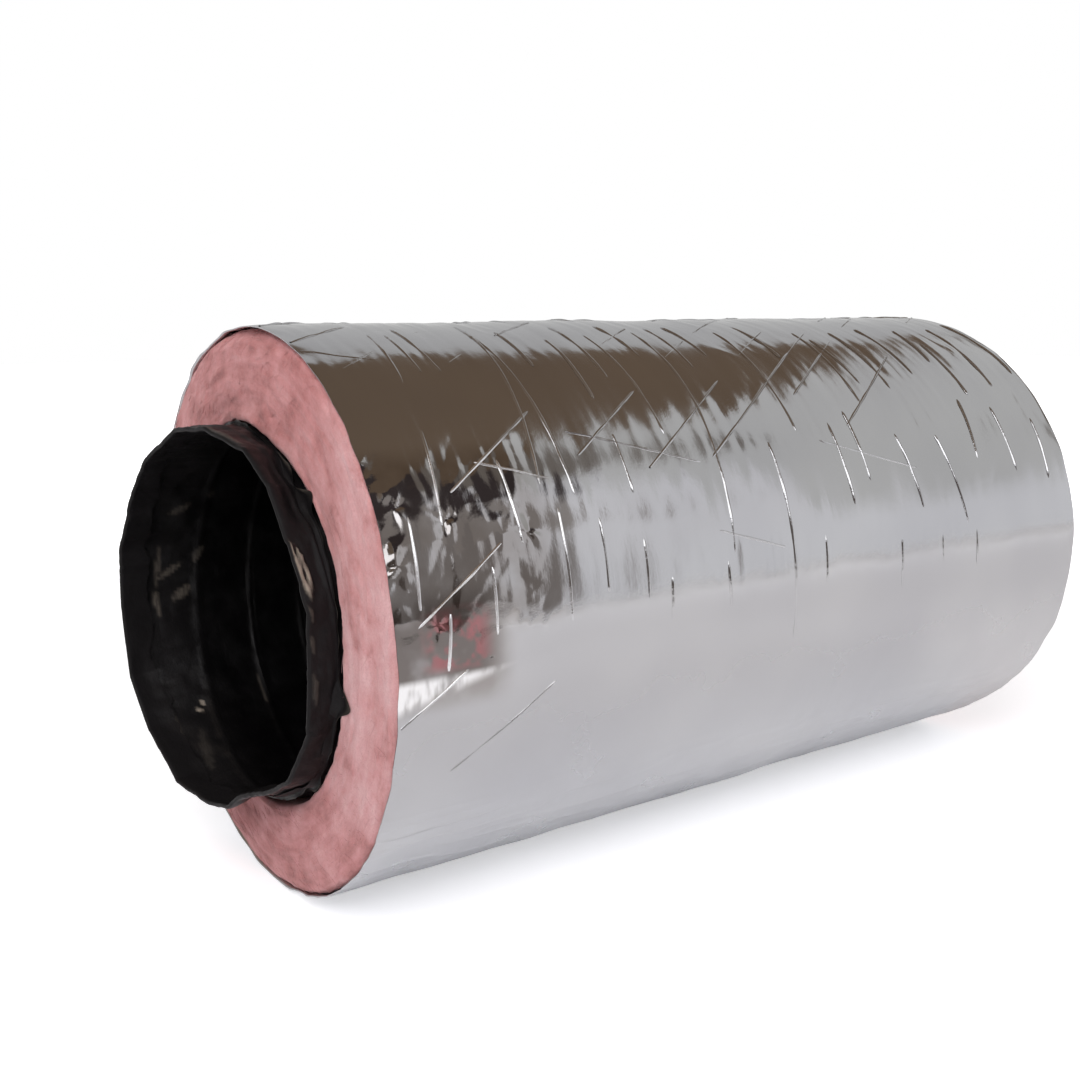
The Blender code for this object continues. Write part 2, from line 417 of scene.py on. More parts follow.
def thread_mesh(low, high):
    """Strips for the lengths of thread between two seams."""
    points, faces, base = [np.zeros((0, 3))], [np.zeros((0, 4), int)], 0
    for along, angle, size, shows in LINES:
        for run in thread_runs(along, shows, low, high):
            strip = thread_strip(along[run], angle[run], size, shows[run])
            points.append(strip.reshape(-1, 3))
            faces.append(grid_faces(len(run), 4, col_loop=False, rows_first=True) + base)
            base += len(run) * 4
    return np.concatenate(points), np.concatenate(faces)


def grid_normals(points):
    """Normals of a closed grid from its neighbours, without the first and last rows."""
    down = points[2:] - points[:-2]
    across_row = np.roll(points, -1, 1)[1:-1] - np.roll(points, 1, 1)[1:-1]
    return unit(np.cross(across_row, down))


def cut_lip(ring, angle, turned):
    """The lip turned in over the blanket at a cut edge; turned is +1 or -1 along X."""
    rows = [ring]
    for depth, inward in ((0.0, 0.5), (3.0, 0.7), (9.0, 0.9)):
        radius = np.hypot(ring[:, 1], ring[:, 2] - AXIS_Z) - inward * MM
        rows.append(round_axis(ring[:, 0] + turned * depth * MM, radius, angle))
    return np.array(rows)


def make_jacket(k):
    low, high = SEAMS[k - 1], SEAMS[k]
    cols = (2 if k == 1 else 1) * AROUND
    step = (1.1 if k == 1 else 1.8) * MM * 1
    rows = int(round((high - low) / step)) + 1
    along = np.linspace(low, high, rows)
    gap = along[1] - along[0]
    along = np.concatenate([[low - gap], along, [high + gap]])
    angle = angles_round(cols)
    points = foil_point(*np.meshgrid(along, angle, indexing="ij"))
    normals = grid_normals(points)
    grid = points[1:-1].copy()
    if k == 1:
        # the next piece has half as many points round its edge
        grid[-1, 1::2] = (grid[-1, 0::2] + np.roll(grid[-1], -2, 0)[0::2]) / 2
        normals[-1, 1::2] = normals[-1, 0::2] + np.roll(normals[-1], -2, 0)[0::2]
        normals[-1] = unit(normals[-1])
    verts, faces = [grid.reshape(-1, 3)], [grid_faces(rows, cols)]
    base = rows * cols
    if k in (1, LAST):
        near = k == 1
        lip = cut_lip(grid[0 if near else -1], angle, 1 if near else -1)
        verts.append(lip.reshape(-1, 3))
        faces.append(grid_faces(len(lip), cols, flip=near) + base)
        base += len(lip) * cols
    first_thread = sum(len(f) for f in faces)
    thread_verts, thread_faces = thread_mesh(low, high)
    verts = np.concatenate(verts + [thread_verts])
    faces = np.concatenate(faces + [thread_faces + base])
    index = np.zeros(len(faces), int)
    index[first_thread:] = 1
    # zero leaves the lip's and the threads' normals as they are
    all_normals = np.zeros((len(verts), 3))
    all_normals[:rows * cols] = normals.reshape(-1, 3)
    obj = mesh_object(f"foil_jacket_{k}", verts, faces.tolist(), FOIL_MAT, THREAD_MAT, index=index)
    obj.data.normals_split_custom_set_from_vertices(all_normals.tolist())
    across(stand_in(obj, "jacket", f"jacket_{k}"))


# ---------------------------------------------------------------- blanket
PUFF, STREAK, TUFT = Noise(41, 14 * MM, 14), Noise(42, 3.2 * MM, 44), Noise(43, 1.6 * MM, 150)
FAR_PUFF, FAR_STREAK = Noise(44, 17 * MM, 17), Noise(45, 3.6 * MM, 50)
LUMP = Noise(46, 4.5 * MM, 105)
FACE_RIM = BLANKET_OUT - 0.4 * MM            # outer radius of the cut faces
FAR_SUNK = 0.6 * MM                          # the far face lies this far in


def face_height(radius, angle, far):
    """How far a cut face stands out. The radius takes the place of `along` in the noise."""
    puff, streak = (FAR_PUFF, FAR_STREAK) if far else (PUFF, STREAK)
    share = np.clip((radius - BLANKET_IN) / (BLANKET_OUT - BLANKET_IN), 0, 1)
    height = 3.4 * (1 - share ** 4) - 0.4
    height = height + 1.3 * puff(radius, angle) * np.clip(1.3 - share, 0, 1)
    swirl = angle + 0.25 * puff(radius + 0.05, angle) + (radius - 0.13) * 3.0
    height = (height + 0.40 * streak(radius + 2.5 * MM * puff(radius, angle + 2), swirl)
              + 0.42 * LUMP(radius, angle) + 0.08 * TUFT(radius, angle))
    if not far:
        # it swells over the core, most at the top, and has sunk under the foil's edge there
        above = degrees_above(angle)
        height = (height + (0.8 + 5.2 * np.exp(-((above - 78) / 24) ** 2))
                  * np.exp(-(radius - BLANKET_IN) / (8 * MM)))
        height = height - 5.0 * np.exp(-((above - 88) / 18) ** 2) * fade((share - 0.84) / 0.14)
    return height * MM


def mouth(along):
    """Inner radius of the blanket near X0: it opens out at the mouth."""
    return BLANKET_IN + 0.4 * MM * (1 - fade(along / (20 * MM)))


def face_rings(angle, far):
    """Rings of a cut face from the core outwards, with rounded edges."""
    inner = BLANKET_IN if far else mouth(0.0)
    rings = []
    for share in np.linspace(0, 1, 44):
        radius = inner + (FACE_RIM - inner) * share
        rounding = (2.2 * MM * (1 - fade((1 - share) / 0.05))
                    + 1.5 * MM * (1 - fade(share / 0.05)))
        if far:
            along = LEN + face_height(radius, angle, True) - FAR_SUNK - rounding
        else:
            full = BLANKET_IN + (BLANKET_OUT - BLANKET_IN) * share
            along = -face_height(full, angle, False) + rounding
        tuft = TUFT(radius + (0.02 if far else 0), angle + 1)
        rings.append((along, radius + 0.5 * MM * tuft))
    return rings


def blanket_rings(k, angle):
    """Section of piece k as (along, radius) rings, a closed loop."""
    low, high = SEAMS[k - 1], SEAMS[k]
    under_foil = BLANKET_OUT - 1.4 * MM
    if k == 1:
        outside = [(high, 1.6), (66 * MM, 1.6), (33 * MM, 1.6), (14 * MM, 1.6), (8 * MM, 1.6),
                   (4 * MM, 1.2)]                          # along, millimetres in
        return ([(along, BLANKET_OUT - inset * MM) for along, inset in outside]
                + face_rings(angle, far=False)[::-1]
                + [(along, mouth(along))
                   for along in (4 * MM, 9 * MM, 20 * MM, 33 * MM, 66 * MM, high)])
    if k == LAST:
        outside = [LEN - 3.5 * MM, LEN - 7 * MM, LEN - 14 * MM, LEN - 33 * MM, low + 20 * MM, low]
        inside = [low, low + 20 * MM, LEN - 33 * MM, LEN - 9 * MM, LEN - 4 * MM]
        ends = face_rings(angle, far=True)
    else:
        inside = np.linspace(low, high, 7)
        outside = inside[::-1]
        ends = []
    return [(a, under_foil) for a in outside] + [(a, BLANKET_IN) for a in inside] + ends


def make_blanket(k):
    cols = AROUND if k in (1, LAST) else 96
    angle = angles_round(cols)
    points = np.stack([round_axis(X0 + along, radius, angle)
                       for along, radius in blanket_rings(k, angle)])
    faces = grid_faces(len(points), cols, row_loop=True, rows_first=True)
    obj = mesh_object(f"blanket_{k}", points, faces.tolist(), BLANKET_MAT)
    last = ["insulation_8"] if k == LAST else []
    across(stand_in(obj, "blanket", f"insulation_{k}", *last))


def make_fibres(name, far, count, seed):
    """Loose glass strands lying on a cut face, each a thin three-sided thread."""
    rng = np.random.default_rng(seed)
    points, steps, sides = [], 6, 3
    share = np.linspace(-0.5, 0.5, steps)
    for _ in range(count):
        middle_r = math.sqrt(rng.uniform((BLANKET_IN + 3 * MM) ** 2, (BLANKET_OUT - 1.0 * MM) ** 2))
        middle_angle = rng.uniform(0, TAU)
        run = rng.uniform(7, 26) * MM * share
        turn = rng.normal(0, 0.5)
        heading = turn + rng.normal(0, 0.9) * share
        angle = middle_angle + run * np.cos(heading) / middle_r
        radius = np.clip(middle_r + run * np.sin(heading), BLANKET_IN + 2.2 * MM,
                         BLANKET_OUT + rng.uniform(-1.0, 0.4) * MM)
        # a few strands curl up at their ends
        lift = (rng.uniform(-0.08, 0.06)
                + rng.uniform(0, 0.9) * (2 * share) ** 2 * (rng.uniform() < 0.15)) * MM
        height = face_height(radius, angle, far) + lift
        along = (LEN + height - FAR_SUNK) if far else -height
        middle = round_axis(X0 + along, radius, angle)
        tangent = unit(np.gradient(middle, axis=0))
        side = unit(np.cross(tangent, [1.0, 0, 0]))
        top = np.cross(side, tangent)
        thick = rng.uniform(0.06, 0.12) * MM * (1 - 0.6 * np.abs(2 * share)[:, None])
        for q in range(sides):
            corner = TAU * q / sides
            points.append(middle + thick * (math.cos(corner) * side + math.sin(corner) * top))
    strand = grid_faces(sides, steps, row_loop=True, col_loop=False)
    faces = np.concatenate([strand + n * sides * steps for n in range(count)])
    obj = mesh_object(name, np.concatenate(points), faces.tolist(), FIBRE_MAT)
    return obj


# ---------------------------------------------------------------- core
BIG_FOLDS, FOLDS, RIPPLES = Noise(51, 17 * MM, 30), Noise(52, 8 * MM, 64), Noise(53, 3.2 * MM, 150)
RIDGES, TEARS = Noise(54, 30 * MM, 90), Noise(55, 9 * MM, 48)
# the bare end is out of round, with a kink at each of these: angle, millimetres out
RIM = [(-175, -0.6), (-158, 0.8), (-140, 0.8), (-131, -3.1), (-116, -9.0), (-105, -7.0),
       (-98, -1.6), (-86, 1.6), (-67, 8.4), (-46, 8.6), (-28, 6.6), (-5, 1.8), (13, 2.2),
       (33, -1.6), (52, 2.0), (76, 1.8), (95, 1.8), (116, 5.0), (130, 4.2), (148, -1.0), (167, 0.2)]
KINK_ANGLES = np.radians([p[0] for p in RIM])
KINK_OUT = np.array([p[1] for p in RIM])
KINK_ALONG = np.random.default_rng(8).uniform(-1, 1, len(RIM))
# where the wire's turns start
WIRE_START = -math.pi / 2 + math.pi / CAD_SIDES + 4 * TAU / CAD_SIDES

# places where the film is creased, each with a painted pale glint: millimetres along,
# degrees round, length, width, turn in degrees, how much
INSIDE = [(-14, 6, 13, 1.1, 4, 0.5), (-15, -6, 9, 1.3, -3, 0.6), (-6, 27, 6, 2.4, 50, 0.35),
          (-9, 4, 7, 1.8, 48, 0.6), (-4, -4, 6, 2.6, 42, 0.5), (4, 9, 6, 2.0, 25, 0.3),
          (-5, -43, 2.6, 1.0, 20, 2.4), (-7, -45, 1.8, 0.8, -20, 2.2), (30, -43, 16, 0.8, 3, 0.25),
          (8, 32, 3, 2.0, 10, 0.15), (-28, -20, 40, 1.6, 2, 0.12), (-20, -48, 22, 2.0, 4, 0.16),
          (-12, -60, 16, 2.5, 8, 0.12), (40, 60, 8, 2.0, 30, 0.3), (20, 140, 7, 2.2, 60, 0.4),
          (-10, 170, 9, 2.4, -40, 0.4)]
OUTSIDE = [(-30.0, 155, 15, 3.6, 6, 2.4), (-31, 167, 5, 1.2, 8, 0.35), (-31, 175, 5, 1.2, 5, 0.4),
           (-30, 188, 9, 1.8, 6, 0.3), (-31, 103, 20, 2.0, 4, 0.30), (-8, 60, 8, 2.0, 20, 0.3),
           (-16, -60, 12, 2.4, -20, 0.3), (-12, 10, 9, 2.0, 20, 0.3), (-20, 230, 8, 1.6, 12, 0.25)]


def glint_creases(places, along, angle):
    """How much the film is creased at each point; it sets the dents and the painted pale glints."""
    total = np.zeros(np.shape(along + angle))
    for place, degrees, long, wide, turn, much in places:
        x = (along - place * MM) / MM
        y = wrap(angle - math.radians(degrees)) * CORE_R / MM
        cosine, sine = math.cos(math.radians(turn)), math.sin(math.radians(turn))
        lengthwise, sideways = y * cosine + x * sine, -y * sine + x * cosine
        far = ((lengthwise / long) ** 2
               + np.abs(sideways / wide * (1 + 0.5 * (lengthwise / long) ** 2)) ** 2)
        part = much * fade((1.25 - far) / 0.6)
        if much > 2 and long > 10:
            part = part * fade(np.abs(sideways - 0.4) / 1.2)     # a painted dark crease line down the glint
        total = np.maximum(total, part)
    return total


def rim_out(angle):
    """Millimetres the bare end is outside the wire's round, straight between the kinks."""
    corners = np.concatenate([KINK_ANGLES, [KINK_ANGLES[0] + TAU]])
    radii = CORE_R / MM + np.concatenate([KINK_OUT, KINK_OUT[:1]])
    turned = np.mod(angle - KINK_ANGLES[0], TAU) + KINK_ANGLES[0]
    i = np.clip(np.searchsorted(corners, turned, side="right") - 1, 0, len(KINK_ANGLES) - 1)
    start, end, start_r, end_r = corners[i], corners[i + 1], radii[i], radii[i + 1]
    chord = start_r * end_r * np.sin(end - start) / (
        start_r * np.sin(turned - start) + end_r * np.sin(end - turned))
    return chord - CORE_R / MM


def rim_along(angle):
    """The cut end of the core wanders a little."""
    corners = np.concatenate([KINK_ANGLES - TAU, KINK_ANGLES, KINK_ANGLES + TAU])
    return 1.1 * MM * np.interp(wrap(angle), corners, np.tile(KINK_ALONG, 3))


def wire_near(along, angle):
    """1 on the wire, falling to 0 a few millimetres away."""
    gap = along - PITCH * np.mod(angle - WIRE_START, TAU) / TAU
    gap = np.mod(gap + PITCH / 2, PITCH) - PITCH / 2
    return np.exp(-(gap / (2.0 * MM)) ** 2)


def core_point(along, radius, angle):
    """A point of the core, with its end leaned over as the CAD's is."""
    y, z = radius * np.cos(angle), radius * np.sin(angle)
    tilt = TILT * fade((TILT_TO - along) / (TILT_TO - TILT_FROM))
    return np.stack([X0 + along * np.cos(tilt) - y * np.sin(tilt),
                     along * np.sin(tilt) + y * np.cos(tilt), AXIS_Z + z], -1)


def pinch(along, angle):
    """Millimetres the core is pressed in between its open end and the blanket's face."""
    above = degrees_above(angle)
    much = 3.2 * hump(above, -84, -56, 12) + 3.8 * hump(above, 44, 56, 9)
    return -much * fade((6 * MM - along) / (9 * MM)) * fade((along + 31 * MM) / (13 * MM))


def sag(along, angle):
    """The film's loose folds, least on the wire and most half-way between two turns."""
    battered = fade((6 * MM - along) / (10 * MM))          # the bare end more than the rest
    fold = (0.55 * BIG_FOLDS.facets(along, angle)
            + 0.55 * FOLDS.facets(along + 2 * MM * RIPPLES(along, angle), angle)
            + 0.16 * RIPPLES(along, angle) + 0.35 * spike(RIDGES(along, angle), 3))
    bare = fade((4 * MM - along) / (40 * MM))
    dent = 0.9 * np.minimum(glint_creases(OUTSIDE, along, angle), 1.2)
    loose = (1 - 0.85 * wire_near(along, angle)) * (fold + dent) * (0.55 + 0.75 * battered)
    return (loose + rim_out(angle) * bare + pinch(along, angle)) * MM


def outer_radius(along, angle):
    return CORE_R + (0.25 + 1.05 * wire_near(along, angle)) * MM + sag(along, angle)


def liner_radius(along, angle):
    return CORE_R - (0.25 + 1.0 * wire_near(along, angle)) * MM + sag(along, angle)


def folded_end(low, radius, angle, fold):
    """Rows where the film turns over the end and runs back inside, from its torn edge."""
    half = 1.35 * MM
    rows = []
    for turn in np.linspace(0, math.pi, 7)[1:]:
        rows.append(core_point(low - np.sin(turn) * half + rim_along(angle),
                               radius + (np.cos(turn) - 1) * half, angle))
    back = fold * (1 + 0.16 * TEARS(0, angle) + 0.10 * RIPPLES(0, angle))
    for share in np.linspace(0, 1, 10)[1:]:
        along = low + back * share
        inner = (np.minimum(liner_radius(along, angle), radius - 2 * half + 0.6 * MM)
                 - (0.5 + 0.5 * share) * MM + 0.35 * MM * FOLDS(along + 0.2, angle))
        rows.append(core_point(along + rim_along(angle) * (1 - share), inner, angle))
    return np.array(rows[::-1])


def make_film(name, low, high, inside, stands_for, fold=0.0):
    """A length of the core's outer film, or of the liner if inside."""
    surface, material, slot, places = (
        (liner_radius, LINER_MAT, "liner", INSIDE) if inside
        else (outer_radius, FILM_MAT, "film", OUTSIDE))
    step = 1.4 * MM if low < 40 * MM else 2.2 * MM
    rows = max(4, int(round((high - low) / step)) + 1)
    ring = angles_round(CORE_AROUND)
    along, angle = np.meshgrid(np.linspace(low, high, rows), ring, indexing="ij")
    edge = np.exp(-(along - low) / (6 * MM)) if low < 0 else 0.0
    radius = surface(along, angle)
    points = core_point(along + edge * rim_along(angle), radius, angle)
    if fold:
        points = np.concatenate([folded_end(low, radius[0], ring, fold), points])
    faces = grid_faces(len(points), CORE_AROUND, flip=inside)
    obj = mesh_object(name, points, faces.tolist(), material)
    glints_and_pale_edge = np.zeros(points.shape[:2])
    glints_and_pale_edge[-rows:] = glint_creases(places, along, angle)
    keep_attribute(obj.data, "glints_and_pale_edge", "FLOAT", "value", glints_and_pale_edge)
    return stand_in(obj, slot, stands_for)


def make_wire(name, low, high, stands_for):
    count = max(8, int(round((high - low) / PITCH * (96))))
    along = np.linspace(low, high, count + 1)
    angle = WIRE_START + along / PITCH * TAU
    sides = 8
    middle = core_point(along, CORE_R + sag(along, angle), angle)
    tangent = unit(np.gradient(middle, axis=0))
    side = unit(np.cross(outward(angle), tangent))
    top = np.cross(tangent, side)
    corners = [TAU * q / sides for q in range(sides)]
    points = np.stack([middle + 0.75 * MM * (math.cos(c) * top + math.sin(c) * side)
                       for c in corners], 1)
    faces = grid_faces(count + 1, sides).tolist()
    faces.append(list(range(sides))[::-1])
    faces.append([count * sides + q for q in range(sides)])
    return stand_in(mesh_object(name, points, faces, WIRE_MAT), "wire", *stands_for)


def make_core(label, low, high, bend, start_trim=(0, 0, 0), end_trim=(0, 0, 0), fold=0.0,
              more_wire=()):
    """Film, liner and wire of one length. The trims are in millimetres, in that order."""
    starts = [low + trim * MM for trim in start_trim]
    ends = [high - trim * MM for trim in end_trim]
    bend(make_film(f"outer_film_{label}", starts[0], ends[0], False, f"core_film_{label}", fold))
    bend(make_film(f"liner_{label}", starts[1], ends[1], True, f"liner_film_{label}"))
    bend(make_wire(f"wire_coil_{label}", starts[2], ends[2], [f"wire_{label}", *more_wire]))


# tongues and notches of the cuff's edge: degrees above, width in degrees, millimetres out
CUFF_MARKS = [(44, 2.6, 5.6), (50.5, 2.2, -3.0), (56, 3.0, 1.5), (-12, 3.4, 10.4),
              (-23, 4.0, -0.8), (-46, 3.6, 2.6)]


def cuff_edge(angle):
    """Radius of the cuff's torn edge."""
    above = degrees_above(angle)
    radius = (105.4 + 0.8 * TEARS(0.1, angle) + 0.7 * RIPPLES(0.1, angle)
              + 0.5 * RIDGES(0.1, angle))
    for centre, width, depth in CUFF_MARKS:
        radius = radius + depth * np.exp(-((above - centre) / width) ** 2)
    pressed = pinch(-4 * MM, angle) * hump(above, -90, -52, 8)
    return np.clip(radius + pressed, 99.0, 116.5) * MM


def make_cuff():
    """The torn cuff of the outer ply, turned out against the blanket."""
    angle = np.linspace(math.radians(17), math.radians(343), CORE_AROUND)
    root = -9.0 * MM
    inner = outer_radius(root, angle) + 0.2 * MM
    edge = cuff_edge(angle)
    rows, glints_and_pale_edge = [], []
    for share in np.linspace(0, 1, 9):
        radius = inner + (edge - inner) * share ** 1.3
        along = root + 6.0 * MM * fade(share * 1.25)
        face = -face_height(np.maximum(radius, BLANKET_IN), angle, False)
        along = np.minimum(along, face - (0.3 + 0.5 * share) * MM)
        along = along + 0.35 * MM * FOLDS(0.1 + radius, angle) * share
        rows.append(round_axis(X0 + along, radius, angle))
        # the torn edge turns a paler brown, in patches
        glints_and_pale_edge.append(0.55 * fade((share - 0.72) / 0.28) * fade(0.6 + RIDGES(0.2, angle)))
    faces = grid_faces(len(rows), len(angle), col_loop=False)
    obj = mesh_object("torn_cuff", np.array(rows), faces.tolist(), FILM_MAT)
    keep_attribute(obj.data, "glints_and_pale_edge", "FLOAT", "value", glints_and_pale_edge)
    return stand_in(obj, "film", "core_film_cuff")


# ---------------------------------------------------------------- shader nodes
class Nodes:
    """Shorthand for building a node tree."""

    def __init__(self, tree):
        self.tree = tree

    def fill(self, node, inputs):
        """Link the inputs that are sockets, and set the others."""
        for key, value in inputs.items():
            if isinstance(value, bpy.types.NodeSocket):
                self.tree.links.new(value, node.inputs[key])
            else:
                node.inputs[key].default_value = value

    def add(self, kind, inputs=None, **settings):
        node = self.tree.nodes.new(kind)
        for key, value in settings.items():
            setattr(node, key, value)
        self.fill(node, inputs or {})
        return node

    def attribute(self, name, output):
        return self.add("ShaderNodeAttribute", attribute_name=name).outputs[output]

    def coordinates(self, output):
        return self.add("ShaderNodeTexCoord").outputs[output]

    def split(self, vector):
        outputs = self.add("ShaderNodeSeparateXYZ", {0: vector}).outputs
        return outputs["X"], outputs["Y"], outputs["Z"]

    def scaled(self, vector, scale):
        return self.add("ShaderNodeVectorMath", {0: vector, 1: scale},
                        operation="MULTIPLY").outputs[0]

    def noise(self, vector, scale, detail=3.0, rough=0.55):
        return self.add("ShaderNodeTexNoise", {"Vector": vector, "Scale": scale, "Detail": detail,
                                               "Roughness": rough}).outputs["Fac"]

    def ramp(self, value, stops):
        """Stops are (place, colour)."""
        node = self.add("ShaderNodeValToRGB", {"Fac": value})
        elements = node.color_ramp.elements
        for element, (place, colour) in zip(elements, (stops[0], stops[-1])):
            element.position = place
            element.color = (*colour, 1)
        for place, colour in stops[1:-1]:
            elements.new(place).color = (*colour, 1)
        return node.outputs["Color"]

    def maths(self, operation, *values):
        return self.add("ShaderNodeMath", dict(enumerate(values)), operation=operation).outputs[0]

    def times(self, first, *others):
        for other in others:
            first = self.maths("MULTIPLY", first, other)
        return first

    def span(self, value, start, end, low=0.0, high=1.0):
        """Low where value is start, high where it is end, smooth between."""
        return self.add("ShaderNodeMapRange", {
            "Value": value, "From Min": start, "From Max": end, "To Min": low, "To Max": high,
        }, interpolation_type="SMOOTHSTEP").outputs["Result"]

    def mask(self, *rows):
        """Product of spans, each row a value, where it gives 0, and where it gives 1."""
        return self.times(*[self.span(*row) for row in rows])

    def mix(self, factor, *colours):
        inputs = {"Factor": factor}
        for key, colour in zip((6, 7), colours):
            inputs[key] = (*colour, 1) if isinstance(colour, tuple) else colour
        return self.add("ShaderNodeMix", inputs, data_type="RGBA").outputs[2]

    def bump(self, height, strength, distance, below=None):
        inputs = {"Strength": strength, "Distance": distance, "Height": height}
        if below is not None:
            inputs["Normal"] = below
        return self.add("ShaderNodeBump", inputs).outputs["Normal"]


class Material(Nodes):
    def __init__(self, name):
        self.data = bpy.data.materials.new(name)
        self.data.use_nodes = True
        super().__init__(self.data.node_tree)

    def surface(self, **inputs):
        """Fill the surface shader; an underscore stands for a space. Returns the material."""
        self.fill(self.tree.nodes["Principled BSDF"],
                  {key.replace("_", " "): value for key, value in inputs.items()})
        return self.data


# ---------------------------------------------------------------- materials
def foil_material(name, thread=False):
    mat = Material(name)
    rest = mat.attribute("rest", "Vector")
    x, y, z = mat.split(rest)
    height = mat.maths("DIVIDE", z, JACKET_R)              # -1 bottom to 1 top
    minus_y = (y, 0.0, -0.06)                              # mask row: only the -Y side
    grey = mat.noise(rest, scale=9.0, detail=2.0)
    colour = mat.ramp(grey, [(0.3, (0.53, 0.53, 0.545)), (0.7, (0.60, 0.60, 0.605))])
    # painted shade: the crumpled patch by the cut edge is darker, for its darker reflections,
    # except a smooth low corner
    side = mat.mask((x, 0.115, 0.075), (height, -0.14, -0.06), (height, 0.66, 0.58), minus_y)
    shade_breakup = mat.noise(rest, scale=34.0, detail=3.0)
    corner = mat.maths("MAXIMUM", mat.span(height, start=0.07, end=0.17),
                       mat.span(x, start=0.066, end=0.050))
    dark = mat.times(side, corner, mat.span(shade_breakup, start=0.35, end=0.6, low=0.45, high=0.85))
    colour = mat.mix(dark, colour, (0.36, 0.335, 0.32))
    # painted shade: darker still close to the edge, under the patch
    under = mat.times(mat.mask((x, 0.060, 0.042)),
                      mat.mask((height, -0.03, 0.0), (height, 0.27, 0.17)), mat.mask(minus_y),
                      mat.span(shade_breakup, start=0.32, end=0.5, low=0.55, high=1.0))
    colour = mat.mix(under, colour, (0.205, 0.185, 0.175))
    # a painted pink reflection of the wool, in flecks
    flecks = mat.noise(rest, scale=80.0, detail=3.0)
    rosy = mat.times(mat.mask((x, 0.054, 0.040), (x, 0.010, 0.022)),
                     mat.mask((height, -0.01, 0.03), (height, 0.21, 0.14)),
                     mat.times(side, mat.span(flecks, start=0.40, end=0.56)))
    rosy_strength = 0.85
    colour = mat.mix(mat.times(rosy, rosy_strength), colour, (0.42, 0.17, 0.18))
    # painted highlight: a white glint in a wedge below the patch, its end slanting with the height
    slant = 0.6
    wedge = mat.maths("SUBTRACT", x, mat.times(height, slant))
    broken = mat.noise(mat.scaled(rest, (1.0, 1.0, 0.35)), scale=90.0, detail=3.0)
    bright = mat.times(mat.mask((wedge, 0.076, 0.050), (height, -0.18, -0.11)),
                       mat.mask((height, 0.0, -0.03), minus_y),
                       mat.span(broken, start=0.36, end=0.54))
    colour = mat.mix(bright, colour, (1.0, 1.0, 1.0))
    # painted highlight: threads in the crumpled patch are paler
    if thread:
        colour = mat.mix(side, colour, (0.86, 0.86, 0.87))
    # duller on the lower half, and changed in the patch
    low_dulling, patch_dulling = 0.18, 0.14 if thread else -0.05
    shine = mat.noise(rest, scale=22.0, detail=3.0)
    low = mat.span(height, start=0.02, end=-0.30)
    rough = mat.span(shine, start=0.3, end=0.7, low=0.09, high=0.17)
    rough = mat.maths("ADD", rough, mat.times(low, low_dulling))
    rough = mat.maths("ADD", rough, mat.times(side, patch_dulling))
    # faint lines in the film that run round the duct, and a finer crinkle
    around = mat.noise(mat.scaled(rest, (7.0, 1.0, 1.0)), scale=40.0, detail=4.0, rough=0.6)
    fine = mat.noise(rest, scale=240.0, detail=4.0, rough=0.6)
    lines = mat.bump(around, strength=0.0 if thread else 0.05, distance=0.0008)
    crinkle = mat.bump(fine, strength=0.30 if thread else 0.07, distance=0.0006, below=lines)
    return mat.surface(Base_Color=colour, Metallic=1.0, Roughness=rough, Normal=crinkle)


def blanket_material(name, fibre=False):
    mat = Material(name)
    rest = mat.attribute("rest", "Vector")
    x, y, z = mat.split(rest)
    angle = mat.maths("ARCTAN2", z, y)
    radius = mat.maths("SQRT", mat.maths("ADD", mat.times(y, y), mat.times(z, z)))
    # streaks that run round the face: every ring is read off this one small circle
    circle = 0.030
    polar = mat.add("ShaderNodeCombineXYZ", {0: mat.times(mat.maths("COSINE", angle), circle),
                                             1: mat.times(mat.maths("SINE", angle), circle),
                                             2: radius}).outputs[0]
    bands = mat.noise(polar, scale=150.0, detail=5.0, rough=0.62)
    clouds = mat.noise(rest, scale=46.0, detail=5.0, rough=0.62)
    grain = mat.noise(rest, scale=900.0, detail=3.0, rough=0.7)
    bands_share, clouds_share = 0.42, 0.58
    tone = mat.maths("ADD", mat.times(bands, bands_share), mat.times(clouds, clouds_share))
    deep = mat.ramp(tone, [(0.35, (0.26, 0.092, 0.090)), (0.45, (0.41, 0.160, 0.157)),
                           (0.54, (0.515, 0.225, 0.226)), (0.66, (0.62, 0.325, 0.33))])
    pale = mat.ramp(tone, [(0.34, (0.46, 0.205, 0.205)), (0.45, (0.56, 0.285, 0.287)),
                           (0.56, (0.62, 0.36, 0.37)), (0.67, (0.69, 0.45, 0.46))])
    # painted light: the -Y side, lit more, is paler, in patches
    painted_lit_side = mat.times(mat.mask((y, -0.070, -0.120)),
                      mat.span(clouds, start=0.30, end=0.48, low=0.5, high=1.0),
                      mat.mask((z, -0.115, -0.065)))
    colour = mat.mix(painted_lit_side, deep, pale)
    colour = mat.mix(mat.span(grain, start=0.35, end=0.75, high=0.35), colour,
                     (0.74, 0.50, 0.51) if fibre else (0.42, 0.20, 0.20))
    streaks = mat.bump(bands, strength=0.16, distance=0.0015)
    wool = mat.noise(rest, scale=420.0, detail=5.0, rough=0.7)
    return mat.surface(
        Base_Color=colour, Roughness=0.92, Specular_IOR_Level=0.15, Sheen_Weight=0.25,
        Sheen_Roughness=0.6, Sheen_Tint=(1.0, 0.75, 0.76, 1), Subsurface_Weight=0.25,
        Subsurface_Radius=(0.004, 0.002, 0.002),
        Normal=mat.bump(wool, strength=0.30, distance=0.0012, below=streaks))


